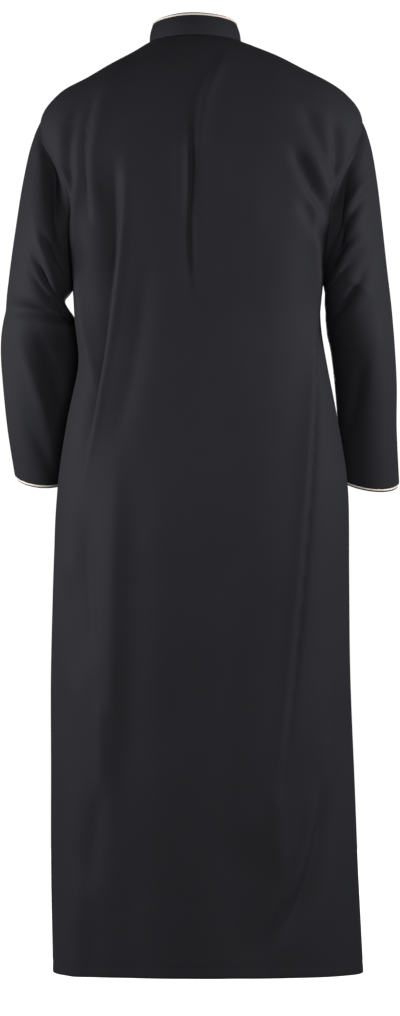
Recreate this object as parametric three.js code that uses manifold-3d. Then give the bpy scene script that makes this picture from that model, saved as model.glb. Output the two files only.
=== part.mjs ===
// A man's long djellaba in black cloth, as it hangs when it is worn: a back, a front with a neck slit and
// placket, two set-in sleeves, and a stand collar and cuffs edged with pale piping. Millimetres, +Z up.
// The wearer faces -Y, so the left arm is on +X. The origin is where the shoulder seams meet the collar,
// midway between them: there the neck and shoulders carry the whole garment.
import * as THREE from "three";
import Module from "manifold-3d";

// ---------------------------------------------------------------- driving dimensions
const CLOTH = 2.0; // wall of the body and sleeves, with its pressed seam allowances
const BAND = 1.3; // one layer of the collar, cuff facing or placket
const SEAM_GAP = 0.3; // between pieces that are sewn together
const PIPING_RADIUS = 1.5;
const FACING_SHOWS = 1.4; // how far a facing's edge stands past the piping
const PLACKET_WIDTH = 32;
const PLACKET_TOP_X = 7; // its middle at the neck, where the collar's ends meet
const PLACKET_FOOT_X = -1; // its middle at the foot
const PLACKET_FOOT = 22 / 3; // the place on the front, counted in rings, where the placket ends
const SLIT_FOOT = 7;
const SLIT_WIDTH = 1.2;
const SLIT_ABOVE = 0.2; // how far above the neck's edge the slit starts, counted in rings
const BUTTON_RADIUS = 5.6;
const BUTTON_HEIGHT = 2.4;
const BUTTON_PLACES = [0.5, 3, 5.25, 6.75]; // down the front, counted in rings
const BUTTON_SIDES = 10;

const BACK_COLUMNS = 36;
const FRONT_COLUMNS = 10; // to each side of the placket
const PLACKET_COLUMNS = 4;
const COLLAR_COLUMNS = 36;
const CORD_SIDES = 6;

// A table is written as rows of numbers under the names of its columns.
const tableOf = (columns, rows) => {
  const names = columns.split(" ");
  return rows.map((row) => Object.fromEntries(names.map((name, k) => [name, row[k]])));
};

// Rings of the body from the neck to the hem. sideZ, backZ and frontZ are the heights of a ring at the side
// seam, centre back and centre front. halfWidth, back and front are its reach from its centre, shift moves
// that centre towards +X, and square is 2 for an ellipse and more for a boxier ring. rows is the number of
// grid rows down to the next ring.
const RING_COLUMNS = "sideZ backZ frontZ halfWidth back front shift square rows";
const BODY_RINGS = tableOf(RING_COLUMNS, [
  [0, 5, -62, 69, 62, 72, 7, 2.0, 2],
  [-24, -14, -84, 118, 78, 85, -2, 2.1, 2],
  [-54, -45, -108, 174, 95, 97, -5, 2.3, 1],
  [-78, -84, -134, 216, 108, 107, -4, 2.6, 2],
  [-116, -128, -166, 241, 117, 116, -2, 2.8, 3],
  [-176, -182, -206, 232, 123, 126, -2, 2.9, 4],
  [-258, -260, -270, 205, 124, 134, 0, 2.8, 4],
  [-360, -360, -360, 186, 118, 136, 2, 2.6, 2],
  [-416, -416, -416, 183, 111, 134, 2, 2.5, 2],
  [-480, -480, -480, 186, 111, 132, -4, 2.4, 2],
  [-570, -570, -570, 203.5, 118, 133, -3.5, 2.3, 2],
  [-672, -672, -672, 218, 130, 137, -4, 2.2, 2],
  [-800, -800, -800, 222, 134, 140, -2, 2.2, 2],
  [-950, -950, -950, 225, 135, 143, -1, 2.2, 2],
  [-1100, -1100, -1104, 228, 138, 146, -4, 2.2, 2],
  [-1250, -1248, -1262, 231, 142, 149, -7, 2.2, 2],
  [-1396, -1388, -1420, 233, 147, 152, -12, 2.2, 0],
]);
const SHOULDER_END = 4; // the ring where the armhole starts
const ARMPIT = 7; // the ring where it ends
const LIFT_POWER = 1.2; // how a ring's height changes from its side to its centre
const ARMHOLE_BITE = { back: 0.56, front: 0.62 }; // how far the armhole cuts into each panel, in radians
const ARMHOLE_ROUNDNESS = 0.8;
const SAME_PLACE = 1e-6; // two places closer than this are one
const SLOPE_STEP = 0.05; // the step over which a surface's slope is measured, in radians or rings
const EDGE_STEP = 0.02; // the step back from an edge that gives the way on past it, counted in rings

// Rings of each sleeve from the armhole to the cuff. out and in are the ring's outermost and innermost
// points, midY its centre, deep its half depth, and drop how much lower its back hangs than its middle.
const SLEEVE_RING_COLUMNS = "outX outZ inX inZ midY deep drop rows";
const SLEEVE_RINGS = {
  left: tableOf(SLEEVE_RING_COLUMNS, [
    [238, -116, 188, -362, 1, 84, 0, 1],
    [247, -136, 190, -365, 1, 84, 0, 1],
    [257, -168, 191, -370, 1, 82, 0, 2],
    [267, -216, 196, -377, 0, 79, 0, 2],
    [275.5, -270, 204, -388, -8, 76, 0, 2],
    [285.5, -334, 196, -403, -24, 72, 0, 2],
    [294, -396, 183, -427, -42, 67, 0, 2],
    [301.5, -450, 181, -460, -52, 62, 4, 2],
    [299.5, -510, 184, -508, -62, 57, 10, 2],
    [293.5, -578, 190, -574, -80, 52, 15, 2],
    [284, -644, 194, -648, -104, 47, 18, 0],
  ]),
  right: tableOf(SLEEVE_RING_COLUMNS, [
    [241, -116, 184, -362, 1, 84, 0, 1],
    [250, -136, 186, -365, 1, 84, 0, 1],
    [259, -168, 187, -370, 0, 82, 0, 2],
    [267, -216, 188, -377, -2, 79, 0, 2],
    [273.5, -270, 188, -388, -8, 76, 0, 2],
    [281, -334, 189, -404, -17, 72, 0, 2],
    [289, -396, 192, -426, -27, 67, 0, 2],
    [294, -450, 199, -460, -36, 64, 2, 2],
    [298, -512, 206, -512, -50, 58, 6, 2],
    [299, -580, 211, -574, -70, 52, 12, 2],
    [304, -658, 212, -646, -94, 47, 17, 0],
  ]),
};

// The stand collar's lower and upper edge, as rings of the same kind as the body's.
const COLLAR_RINGS = tableOf(RING_COLUMNS, [
  [0, 5, -62, 69, 62, 72, 7, 2.0, 1],
  [14, 22, -46, 67, 60, 71, 7.3, 2.0, 1],
  [26.5, 36, -31, 63.5, 56, 67, 7.5, 2.0, 0],
]);
const COLLAR_OPENING = 2.5; // half the gap between the collar's ends at the centre front

// Long soft folds. Each runs from its top to its foot through midX at half height, stands height off the
// cloth, or sinks into it where that is negative, and fades over width to each side.
const FOLD_COLUMNS = "topX topZ midX footX footZ width height";
const BACK_FOLDS = tableOf(FOLD_COLUMNS, [
  [4, -84, 14, 8, -400, 15, -9], // down the spine
  [-44, -16, -10, 6, -170, 13, 5], // from the collar to the spine
  [100, -170, 118, 190, -760, 16, 8], // across to the left side
  [122, -200, 148, 162, -520, 20, -10], // beside it
  [158, -116, 174, 172, -330, 10, -6], // left shoulder blade
  [-150, -112, -170, -178, -262, 10, -6], // right shoulder blade
  [-128, -160, -150, -180, -290, 11, -6], // under it
  [-166, -240, -160, -112, -1110, 15, 8], // long, right of centre
  [-178, -500, -152, -128, -1010, 14, -9], // beside it
  [-178, -1080, -158, -100, -1360, 14, -8], // low right, to the hem
  [110, -800, 134, 152, -1180, 19, 8], // low left
  [186, -820, 172, 178, -1240, 17, -7], // beside it
  [46, -420, 52, 40, -1420, 36, 5],
  [-62, -520, -50, -34, -1440, 34, -5],
]);
const FRONT_FOLDS = tableOf(FOLD_COLUMNS, [
  [150, -120, 158, 140, -330, 12, -6],
  [-152, -118, -162, -146, -340, 12, -6],
  [100, -230, 122, 128, -700, 20, 8],
  [-96, -250, -120, -132, -760, 20, 8],
  [66, -420, 74, 70, -1480, 26, -7],
  [-62, -460, -76, -80, -1480, 26, -7],
  [26, -440, 14, -18, -1520, 30, 6],
  [142, -640, 150, 146, -1480, 24, 8],
  [-140, -700, -156, -160, -1480, 24, 8],
]);
// Folds across the sleeves. turn is the place round the arm, 0 outermost and 90 at the back, along the place
// down it, counted in rings. turnReach and alongReach are their half sizes, and slant how far one end drops.
const SLEEVE_FOLD_COLUMNS = "turn along turnReach alongReach slant height";
const SLEEVE_FOLDS = {
  left: tableOf(SLEEVE_FOLD_COLUMNS, [
    [118, 1.6, 30, 1.5, 0, -9],
    [110, 5.3, 42, 0.5, 0.5, 5],
    [122, 6.3, 46, 0.45, -0.4, -7],
    [112, 7.3, 50, 0.5, 0.4, 5],
    [84, 8.6, 26, 0.9, 0.9, 4],
  ]),
  right: tableOf(SLEEVE_FOLD_COLUMNS, [
    [120, 1.6, 30, 1.5, 0, -9],
    [90, 5.0, 42, 0.5, -0.6, 5],
    [104, 6.0, 46, 0.45, 0.5, -6],
    [92, 6.9, 44, 0.5, -0.4, 4],
  ]),
};
const FOLD_ENDS = 0.6; // the power of the sine by which a fold rises at its top and sinks at its foot
const SEAM_FADE = 0.1; // radians from a seam over which folds die out

const CLOTH_LOOK = new THREE.MeshStandardMaterial({ color: 0x2a2b2f, roughness: 0.72, metalness: 0 });
const PIPING_LOOK = new THREE.MeshStandardMaterial({ color: 0xdccbb8, roughness: 0.45, metalness: 0 });
const BUTTON_LOOK = new THREE.MeshStandardMaterial({ color: 0x1c1c1f, roughness: 0.35, metalness: 0 });

// A button's corners from the middle of its back to the middle of its dished front, in parts of its own
// radius and height.
const BUTTON_PROFILE = tableOf("radius height", [
  [0, 0],
  [0.8, 0],
  [1, 0.4],
  [0.92, 1],
  [0.7, 1],
  [0.55, 0.62],
  [0, 0.62],
]);

// ---------------------------------------------------------------- small maths
const clamp01 = (t) => Math.min(1, Math.max(0, t));
const smoothStep = (t) => clamp01(t) ** 2 * (3 - 2 * clamp01(t));
const radians = (degrees) => (degrees * Math.PI) / 180;

// A smooth curve through the values of one column, at a place counted in rows of the table.
function columnAt(table, column, place) {
  const last = table.length - 1;
  const i = Math.min(last - 1, Math.max(0, Math.floor(place)));
  const t = place - i;
  const valueAt = (k) => table[Math.min(last, Math.max(0, k))][column];
  const [p0, p1, p2, p3] = [i - 1, i, i + 1, i + 2].map(valueAt);
  const m1 = (p2 - p0) / 2;
  const m2 = (p3 - p1) / 2;
  return (
    (2 * t ** 3 - 3 * t ** 2 + 1) * p1 +
    (t ** 3 - 2 * t ** 2 + t) * m1 +
    (-2 * t ** 3 + 3 * t ** 2) * p2 +
    (t ** 3 - t ** 2) * m2
  );
}

// The places of the grid rows: each ring's share is divided into its own number of rows.
function rowPlaces(table) {
  const places = table.flatMap(({ rows }, i) => Array.from({ length: rows }, (_, k) => i + k / rows));
  return [...places, table.length - 1];
}

// The unit normal of a surface given as a function of two parameters, from its slopes.
function normalOf(surface, a, b) {
  const step = 1e-3;
  const alongA = surface(a + step, b).sub(surface(a - step, b));
  const alongB = surface(a, b + step).sub(surface(a, b - step));
  return alongA.cross(alongB).normalize();
}

// ---------------------------------------------------------------- surfaces
// A point of a body or collar ring. turn runs from 0 at the left side over pi / 2 at the centre back to pi
// at the right side, and on over the centre front. The ring is an ellipse whose corners are pushed out.
function ringPoint(table, turn, place, facesBack) {
  const ring = (column) => columnAt(table, column, place);
  const [c, s] = [Math.cos(turn), Math.sin(turn)];
  const square = ring("square");
  const push = (Math.abs(c) ** square + Math.abs(s) ** square) ** (-1 / square);
  const towards = Math.abs(s) * push;
  const sideZ = ring("sideZ");
  const centreZ = ring(facesBack ? "backZ" : "frontZ");
  return new THREE.Vector3(
    ring("shift") + ring("halfWidth") * c * push,
    ring(facesBack ? "back" : "front") * s * push,
    sideZ + (centreZ - sideZ) * towards ** LIFT_POWER,
  );
}

// How far folds lift the cloth at a point: each is a soft ridge or trough along a bent line.
function foldHeight(folds, x, z) {
  let sum = 0;
  for (const { topX, topZ, midX, footX, footZ, width, height } of folds) {
    const t = (topZ - z) / (topZ - footZ);
    if (t <= 0 || t >= 1) continue;
    const lineX = topX * (1 - t) * (1 - 2 * t) + midX * 4 * t * (1 - t) + footX * t * (2 * t - 1);
    sum += height * Math.exp(-(((x - lineX) / width) ** 2)) * Math.sin(Math.PI * t) ** FOLD_ENDS;
  }
  return sum;
}

// How far the armhole's edge lies from the side, as a turn, at a place down the body.
function armholeTurn(place, panel) {
  const t = clamp01((place - SHOULDER_END) / (ARMPIT - SHOULDER_END));
  return ARMHOLE_BITE[panel] * Math.sin(Math.PI * t) ** ARMHOLE_ROUNDNESS;
}

// The turn up to which folds have died out: beyond the armhole's edge, and easing off above and below it.
function armholeZone(place, panel) {
  const ease = 1.5;
  const above = smoothStep((place - SHOULDER_END + ease) / ease);
  return ARMHOLE_BITE[panel] * above * smoothStep((ARMPIT + ease - place) / ease);
}

// The outside of the back or front panel before it folds.
function plainPanel(panel) {
  const facesBack = panel === "back";
  return (turn, place) => ringPoint(BODY_RINGS, facesBack ? turn : -turn, place, facesBack);
}

const panelOut = (panel, surface) => (turn, place) =>
  normalOf(surface, turn, place).multiplyScalar(panel === "back" ? -1 : 1);

// The outside of a panel. Folds move it along its own normal and die out at its seams.
function panelSurface(panel) {
  const plain = plainPanel(panel);
  const out = panelOut(panel, plain);
  const folds = panel === "back" ? BACK_FOLDS : FRONT_FOLDS;
  return (turn, place) => {
    const point = plain(turn, place);
    const zone = armholeZone(place, panel);
    const fromSeam = Math.min(turn, Math.PI - turn) - zone;
    const fade = smoothStep(fromSeam / SEAM_FADE) * smoothStep(place);
    return point.addScaledVector(out(turn, place), fade * foldHeight(folds, point.x, point.z));
  };
}

// Round an armhole, turnRound runs from the shoulder over the back, the armpit and the front. The panel's
// rows meet it at even steps of turnRound.
const ARMHOLE_PLACES = rowPlaces(BODY_RINGS).filter((place) => place >= SHOULDER_END && place <= ARMPIT);
const SLEEVE_COLUMNS = 2 * (ARMHOLE_PLACES.length - 1);

function armholeSpot(turnRound) {
  const half = (turnRound / Math.PI + 2) % 2;
  const share = (half <= 1 ? half : 2 - half) * (ARMHOLE_PLACES.length - 1);
  const i = Math.min(ARMHOLE_PLACES.length - 2, Math.floor(share));
  const place = ARMHOLE_PLACES[i] + (ARMHOLE_PLACES[i + 1] - ARMHOLE_PLACES[i]) * (share - i);
  return { panel: half <= 1 ? "back" : "front", place };
}

function armholeEdge(side, turnRound) {
  const { panel, place } = armholeSpot(turnRound);
  const edge = armholeTurn(place, panel);
  return plainPanel(panel)(side === "left" ? edge : Math.PI - edge, place);
}

const mirrorOf = (side) => (side === "left" ? 1 : -1);

// The outside of a sleeve before it folds and before its end takes the armhole's shape. turn runs from 0 at
// its outer side over pi / 2 at its back.
function plainSleeve(side) {
  const table = SLEEVE_RINGS[side];
  return (turn, place) => {
    const ring = (column) => columnAt(table, column, place);
    const [c, s] = [Math.cos(turn), Math.sin(turn)];
    return new THREE.Vector3(
      (mirrorOf(side) * (ring("outX") + ring("inX") + (ring("outX") - ring("inX")) * c)) / 2,
      ring("midY") + ring("deep") * s,
      (ring("outZ") + ring("inZ") + (ring("outZ") - ring("inZ")) * c) / 2 - ring("drop") * s,
    );
  };
}

const sleeveOut = (side, surface) => (turn, place) =>
  normalOf(surface, turn, place).multiplyScalar(-mirrorOf(side));

// The way out through the wall at the edge of a panel, shared by the pieces that meet there, so that their
// edges lie face to face.
function seamOut(side, panel, place) {
  const atCorner = armholeTurn(place, panel) < SEAM_GAP / BODY_RINGS[ARMPIT].back;
  const sum = new THREE.Vector3();
  for (const each of atCorner ? ["back", "front"] : [panel]) {
    const edge = armholeTurn(place, each);
    sum.add(panelOut(each, plainPanel(each))(side === "left" ? edge : Math.PI - edge, place));
  }
  sum.normalize();
  const index = ARMHOLE_PLACES.findIndex((each) => Math.abs(each - place) < SAME_PLACE);
  if (index >= 0) {
    const turnRound = (Math.PI * index) / (ARMHOLE_PLACES.length - 1);
    sum.add(sleeveOut(side, plainSleeve(side))(panel === "back" ? turnRound : -turnRound, 0));
  }
  return sum.normalize();
}

// Where a sleeve starts: the armhole's edge, moved across the seam by the seam's gap.
function sleeveStart(side, turnRound) {
  const { panel, place } = armholeSpot(turnRound);
  const along = armholeEdge(side, turnRound + SLOPE_STEP)
    .sub(armholeEdge(side, turnRound - SLOPE_STEP))
    .normalize();
  const plain = panelOut(panel, plainPanel(panel))(armholeTurn(place, panel), place);
  if (side === "right") plain.x *= -1;
  const out = plain.add(sleeveOut(side, plainSleeve(side))(turnRound, 0)).normalize();
  const across = along.cross(out).normalize();
  return armholeEdge(side, turnRound).addScaledVector(across, mirrorOf(side) * SEAM_GAP);
}

// The outside of a sleeve. Its first ring has the armhole's shape, which is gone three rings further down.
function sleeveSurface(side) {
  const blendRings = 3;
  const plain = plainSleeve(side);
  const smooth = (turn, place) => {
    const point = plain(turn, place);
    const fade = 1 - smoothStep(place / blendRings);
    return fade === 0 ? point : point.addScaledVector(sleeveStart(side, turn).sub(plain(turn, 0)), fade);
  };
  const out = sleeveOut(side, smooth);
  return (turn, place) => {
    let lift = 0;
    for (const fold of SLEEVE_FOLDS[side]) {
      const around = Math.atan2(Math.sin(turn - radians(fold.turn)), Math.cos(turn - radians(fold.turn)));
      const across = around / radians(fold.turnReach);
      const down = (place - fold.along - fold.slant * across) / fold.alongReach;
      lift += fold.height * Math.exp(-(across ** 2) - down ** 2);
    }
    return smooth(turn, place).addScaledVector(out(turn, place), lift * smoothStep(place));
  };
}

// ---------------------------------------------------------------- solids from grids
// A closed body between two grids of points of the same size: the outer and inner faces, and strips along
// every open edge. A grid that goes all the way round wraps its last column to its first. Each cell is split
// along its shorter diagonal.
function bodyBetween(outer, inner, wraps = false) {
  const rows = outer.length;
  const columns = outer[0].length;
  const points = [...outer.flat(), ...inner.flat()];
  const faces = [];
  const quad = (a, b, c, d) => {
    const shorter = points[a].distanceTo(points[c]) <= points[b].distanceTo(points[d]);
    faces.push(...(shorter ? [a, b, c, a, c, d] : [a, b, d, b, c, d]));
  };
  const at = (layer, i, j) => layer * rows * columns + i * columns + (j % columns);
  const lastColumn = wraps ? columns : columns - 1;
  for (let i = 0; i < rows - 1; i++)
    for (let j = 0; j < lastColumn; j++) {
      quad(at(0, i, j), at(0, i, j + 1), at(0, i + 1, j + 1), at(0, i + 1, j));
      quad(at(1, i, j), at(1, i + 1, j), at(1, i + 1, j + 1), at(1, i, j + 1));
    }
  for (let j = 0; j < lastColumn; j++) {
    quad(at(0, 0, j), at(1, 0, j), at(1, 0, j + 1), at(0, 0, j + 1));
    quad(at(0, rows - 1, j), at(0, rows - 1, j + 1), at(1, rows - 1, j + 1), at(1, rows - 1, j));
  }
  if (!wraps) {
    const end = columns - 1;
    for (let i = 0; i < rows - 1; i++) {
      quad(at(0, i, 0), at(0, i + 1, 0), at(1, i + 1, 0), at(1, i, 0));
      quad(at(0, i, end), at(1, i, end), at(1, i + 1, end), at(0, i + 1, end));
    }
  }
  return facingOut(points, faces);
}

// A geometry from points and triangles, all turned round if they enclose a negative volume.
function facingOut(points, faces) {
  let volume = 0;
  for (let i = 0; i < faces.length; i += 3) {
    const [a, b, c] = [points[faces[i]], points[faces[i + 1]], points[faces[i + 2]]];
    volume += a.dot(b.clone().cross(c));
  }
  const geometry = new THREE.BufferGeometry().setFromPoints(points);
  geometry.setIndex(volume > 0 ? faces : faces.toReversed());
  return geometry;
}

// A wall of cloth: its outside is the surface raised by lift, and its inside lies thickness further in. out
// gives the way out through the wall.
function wallOf(surface, out, turnsAt, places, { lift = 0, thickness = CLOTH, wraps = false }) {
  const grid = (depth) =>
    places.map((place) =>
      turnsAt(place).map((turn) => surface(turn, place).addScaledVector(out(turn, place), lift - depth)),
    );
  return bodyBetween(grid(0), grid(thickness), wraps);
}

// A round cord along a path of rings, each with a centre and the two directions that span its section.
function cordAlong(path, radius, closed) {
  const sides = CORD_SIDES;
  const rings = path.map(({ centre, out, up }) =>
    Array.from({ length: sides }, (_, k) => {
      const turn = (2 * Math.PI * k) / sides;
      const point = centre.clone().addScaledVector(out, radius * Math.cos(turn));
      return point.addScaledVector(up, radius * Math.sin(turn));
    }),
  );
  const points = rings.flat();
  const faces = [];
  const at = (i, k) => (i % path.length) * sides + (k % sides);
  for (let i = 0; i < (closed ? path.length : path.length - 1); i++)
    for (let k = 0; k < sides; k++) {
      faces.push(at(i, k), at(i, k + 1), at(i + 1, k + 1), at(i, k), at(i + 1, k + 1), at(i + 1, k));
    }
  if (!closed)
    for (let k = 1; k < sides - 1; k++) {
      faces.push(at(0, 0), at(0, k + 1), at(0, k));
      faces.push(at(path.length - 1, 0), at(path.length - 1, k), at(path.length - 1, k + 1));
    }
  return facingOut(points, faces);
}

const evenly = (from, to, count) =>
  Array.from({ length: count + 1 }, (_, k) => from + ((to - from) * k) / count);
const allRound = (count) => evenly(0, 2 * Math.PI, count).slice(0, count);

// ---------------------------------------------------------------- the pieces
// The turns of a panel's columns at a place. The front has columns along the placket's edges.
function panelTurns(name, place) {
  const edge = armholeTurn(place, name) + SEAM_GAP / 2 / columnAt(BODY_RINGS, name, place);
  if (name === "back") return evenly(edge, Math.PI - edge, BACK_COLUMNS);
  const [from, to] = [placketTurns(place)[0], placketTurns(place)[PLACKET_COLUMNS]];
  return [
    ...evenly(edge, from, FRONT_COLUMNS).slice(0, -1),
    ...placketTurns(place),
    ...evenly(to, Math.PI - edge, FRONT_COLUMNS).slice(1),
  ];
}

const placketLine = (place) =>
  PLACKET_TOP_X + (PLACKET_FOOT_X - PLACKET_TOP_X) * Math.min(1, Math.max(0, place / PLACKET_FOOT));
// The turn of the point that lies x from the placket's middle line.
const turnOnFront = (x, place) => {
  const fromCentre = x + placketLine(place) - columnAt(BODY_RINGS, "shift", place);
  return Math.acos(fromCentre / columnAt(BODY_RINGS, "halfWidth", place));
};
const placketTurns = (place) =>
  evenly(PLACKET_WIDTH / 2, -PLACKET_WIDTH / 2, PLACKET_COLUMNS).map((x) => turnOnFront(x, place));

function panel(name) {
  const surface = panelSurface(name);
  const inside = panelOut(name, surface);
  const out = (turn, place) => {
    const fromEdge = Math.min(turn, Math.PI - turn) - armholeTurn(place, name);
    const onEdge = fromEdge * columnAt(BODY_RINGS, name, place) < SEAM_GAP;
    return onEdge ? seamOut(turn < Math.PI / 2 ? "left" : "right", name, place) : inside(turn, place);
  };
  return wallOf(surface, out, (place) => panelTurns(name, place), rowPlaces(BODY_RINGS), {});
}

function sleeve(side) {
  const surface = sleeveSurface(side);
  const own = sleeveOut(side, surface);
  const out = (turn, place) => {
    if (place > 0) return own(turn, place);
    const spot = armholeSpot(turn);
    return seamOut(side, spot.panel, spot.place);
  };
  const places = rowPlaces(SLEEVE_RINGS[side]);
  return wallOf(surface, out, () => allRound(SLEEVE_COLUMNS), places, { wraps: true });
}

// The collar as a surface. It starts a seam's gap above the neck's edge and leaves its opening at the front.
function collarSurface(turn, place) {
  const facesBack = Math.sin(turn) > 0;
  const point = ringPoint(COLLAR_RINGS, turn, place, facesBack);
  point.z += SEAM_GAP;
  return point;
}

function collarTurns() {
  const opening = COLLAR_OPENING / COLLAR_RINGS[0].halfWidth;
  return evenly(-Math.PI / 2 + opening, (3 * Math.PI) / 2 - opening, COLLAR_COLUMNS);
}

const collarOut = (turn, place) => normalOf(collarSurface, turn, place);
const COLLAR_TOP = COLLAR_RINGS.length - 1;
const COLLAR_LAYER_STEP = BAND + 2 * SEAM_GAP;
const CUFF_FACING_SUNK = CLOTH + 2 * SEAM_GAP;
const PAST_PIPING = 2 * PIPING_RADIUS + SEAM_GAP + FACING_SHOWS;

// At a surface's last ring: its point, the way out, and the way on past its edge.
function edgeFrame(surface, outOf, turn, end) {
  const point = surface(turn, end);
  const on = point.clone().sub(surface(turn, end - EDGE_STEP)).normalize();
  return { point, out: outOf(turn, end), on };
}

// A wall of one band's thickness, sunk below a surface, whose last row stands past the surface's edge.
function bandPast(surface, out, turns, places, sunk, wraps) {
  const end = places[places.length - 1];
  const grid = (depth) => {
    const rows = places.map((place) =>
      turns.map((turn) => surface(turn, place).addScaledVector(out(turn, place), -depth)),
    );
    const edge = turns.map((turn) => {
      const frame = edgeFrame(surface, out, turn, end);
      return frame.point.addScaledVector(frame.out, -depth).addScaledVector(frame.on, PAST_PIPING);
    });
    return [...rows, edge];
  };
  return bodyBetween(grid(sunk), grid(sunk + BAND), wraps);
}

// Piping along a surface's edge, just outside a band that is sunk below the surface.
function pipingAlong(surface, outOf, turns, end, bandSunk, closed) {
  const sunk = bandSunk - SEAM_GAP - PIPING_RADIUS;
  const path = turns.map((turn) => {
    const { point, out, on } = edgeFrame(surface, outOf, turn, end);
    const centre = point.addScaledVector(out, -sunk).addScaledVector(on, PIPING_RADIUS + SEAM_GAP);
    return { centre, out, up: on };
  });
  return cordAlong(path, PIPING_RADIUS, closed);
}

function collarOuter() {
  return wallOf(collarSurface, collarOut, collarTurns, rowPlaces(COLLAR_RINGS), { thickness: BAND });
}

function collarInner() {
  const places = rowPlaces(COLLAR_RINGS);
  return bandPast(collarSurface, collarOut, collarTurns(), places, COLLAR_LAYER_STEP, false);
}

function collarPiping() {
  return pipingAlong(collarSurface, collarOut, collarTurns(), COLLAR_TOP, COLLAR_LAYER_STEP, false);
}

function cuffPiping(side) {
  const surface = sleeveSurface(side);
  const end = SLEEVE_RINGS[side].length - 1;
  const out = sleeveOut(side, surface);
  return pipingAlong(surface, out, allRound(SLEEVE_COLUMNS), end, CUFF_FACING_SUNK, true);
}

// The facing lies inside the sleeve's last row.
function cuffFacing(side) {
  const surface = sleeveSurface(side);
  const places = rowPlaces(SLEEVE_RINGS[side]).slice(-2);
  const out = sleeveOut(side, surface);
  return bandPast(surface, out, allRound(SLEEVE_COLUMNS), places, CUFF_FACING_SUNK, true);
}

// A band of the placket, over or under the front, on the front's own rows and columns.
function placketBand(lift) {
  const surface = panelSurface("front");
  const places = rowPlaces(BODY_RINGS).filter((place) => place < PLACKET_FOOT + SAME_PLACE);
  return wallOf(surface, panelOut("front", surface), placketTurns, places, { lift, thickness: BAND });
}

// A button is turned about its own axis: a flat back, a raised rim and a dished middle.
function button() {
  const corners = BUTTON_PROFILE.map(
    ({ radius, height }) => new THREE.Vector2(BUTTON_RADIUS * radius, BUTTON_HEIGHT * height),
  );
  return new THREE.LatheGeometry(corners, BUTTON_SIDES);
}

// ---------------------------------------------------------------- cutting the neck slit
const wasm = await Module();
wasm.setup();

function solidOf(geometry) {
  const source = geometry.index ? geometry.toNonIndexed() : geometry;
  const position = source.getAttribute("position");
  const seen = new Map();
  const vertices = [];
  const triangles = [];
  for (let i = 0; i < position.count; i++) {
    const point = [position.getX(i), position.getY(i), position.getZ(i)];
    const key = point.map((v) => v.toFixed(3)).join();
    if (!seen.has(key)) {
      seen.set(key, vertices.length / 3);
      vertices.push(...point);
    }
    triangles.push(seen.get(key));
  }
  const mesh = new wasm.Mesh({
    numProp: 3,
    vertProperties: new Float32Array(vertices),
    triVerts: new Uint32Array(triangles),
  });
  return new wasm.Manifold(mesh);
}

function geometryOf(solid) {
  const { vertProperties, triVerts } = solid.getMesh();
  const geometry = new THREE.BufferGeometry();
  geometry.setAttribute("position", new THREE.BufferAttribute(vertProperties, 3));
  geometry.setIndex(new THREE.BufferAttribute(triVerts, 1));
  return geometry;
}

// The slit is cut by a thin curved blade that follows the front and stands through it to both sides.
function frontWithSlit() {
  const surface = panelSurface("front");
  const rows = rowPlaces(BODY_RINGS).filter((place) => place < SLIT_FOOT + SAME_PLACE);
  const places = [-SLIT_ABOVE, ...rows.slice(1).map((place, k) => (place + rows[k]) / 2)];
  const turns = (place) => [1, -1].map((end) => turnOnFront((end * SLIT_WIDTH) / 2, place));
  const through = { lift: CLOTH, thickness: 3 * CLOTH };
  const blade = wallOf(surface, panelOut("front", surface), turns, places, through);
  return geometryOf(solidOf(panel("front")).subtract(solidOf(blade)));
}

// ---------------------------------------------------------------- assembly
const djellaba = new THREE.Group();

function add(name, geometry, look) {
  const mesh = new THREE.Mesh(geometry, look);
  mesh.name = name;
  djellaba.add(mesh);
  return mesh;
}

add("back", panel("back"), CLOTH_LOOK);
add("front", frontWithSlit(), CLOTH_LOOK);
for (const side of ["left", "right"]) {
  add(`sleeve_${side}`, sleeve(side), CLOTH_LOOK);
  add(`cuff_facing_${side}`, cuffFacing(side), CLOTH_LOOK);
  add(`cuff_piping_${side}`, cuffPiping(side), PIPING_LOOK);
}

add("collar_outer", collarOuter(), CLOTH_LOOK);
add("collar_inner", collarInner(), CLOTH_LOOK);
add("collar_piping", collarPiping(), PIPING_LOOK);

add("placket_upper", placketBand(SEAM_GAP + BAND), CLOTH_LOOK);
add("placket_under", placketBand(-CLOTH - SEAM_GAP), CLOTH_LOOK);

BUTTON_PLACES.forEach((place, k) => {
  const front = panelSurface("front");
  const turn = turnOnFront(0, place);
  const out = panelOut("front", front)(turn, place);
  const mesh = add(`button_${k + 1}`, button(), BUTTON_LOOK);
  mesh.position.copy(front(turn, place).addScaledVector(out, BAND + 3 * SEAM_GAP));
  mesh.quaternion.setFromUnitVectors(new THREE.Vector3(0, 1, 0), out);
});

export default djellaba;
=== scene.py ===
# %% [markdown]
# # A long black djellaba, as it hangs when it is worn
#
# This lesson dresses a plain model of a man's djellaba in its cloth. The garment is a tube of black
# twill from the shoulders to the ankles, with set-in sleeves, a stand collar and a neck slit with a
# placket. A pale satin piping edges the collar and the cuffs. Cloth could be draped by simulation,
# but a worn garment's folds come from a body that isn't here, so each one is placed as a
# soft ridge or trough on a smooth shape.

import math

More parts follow.
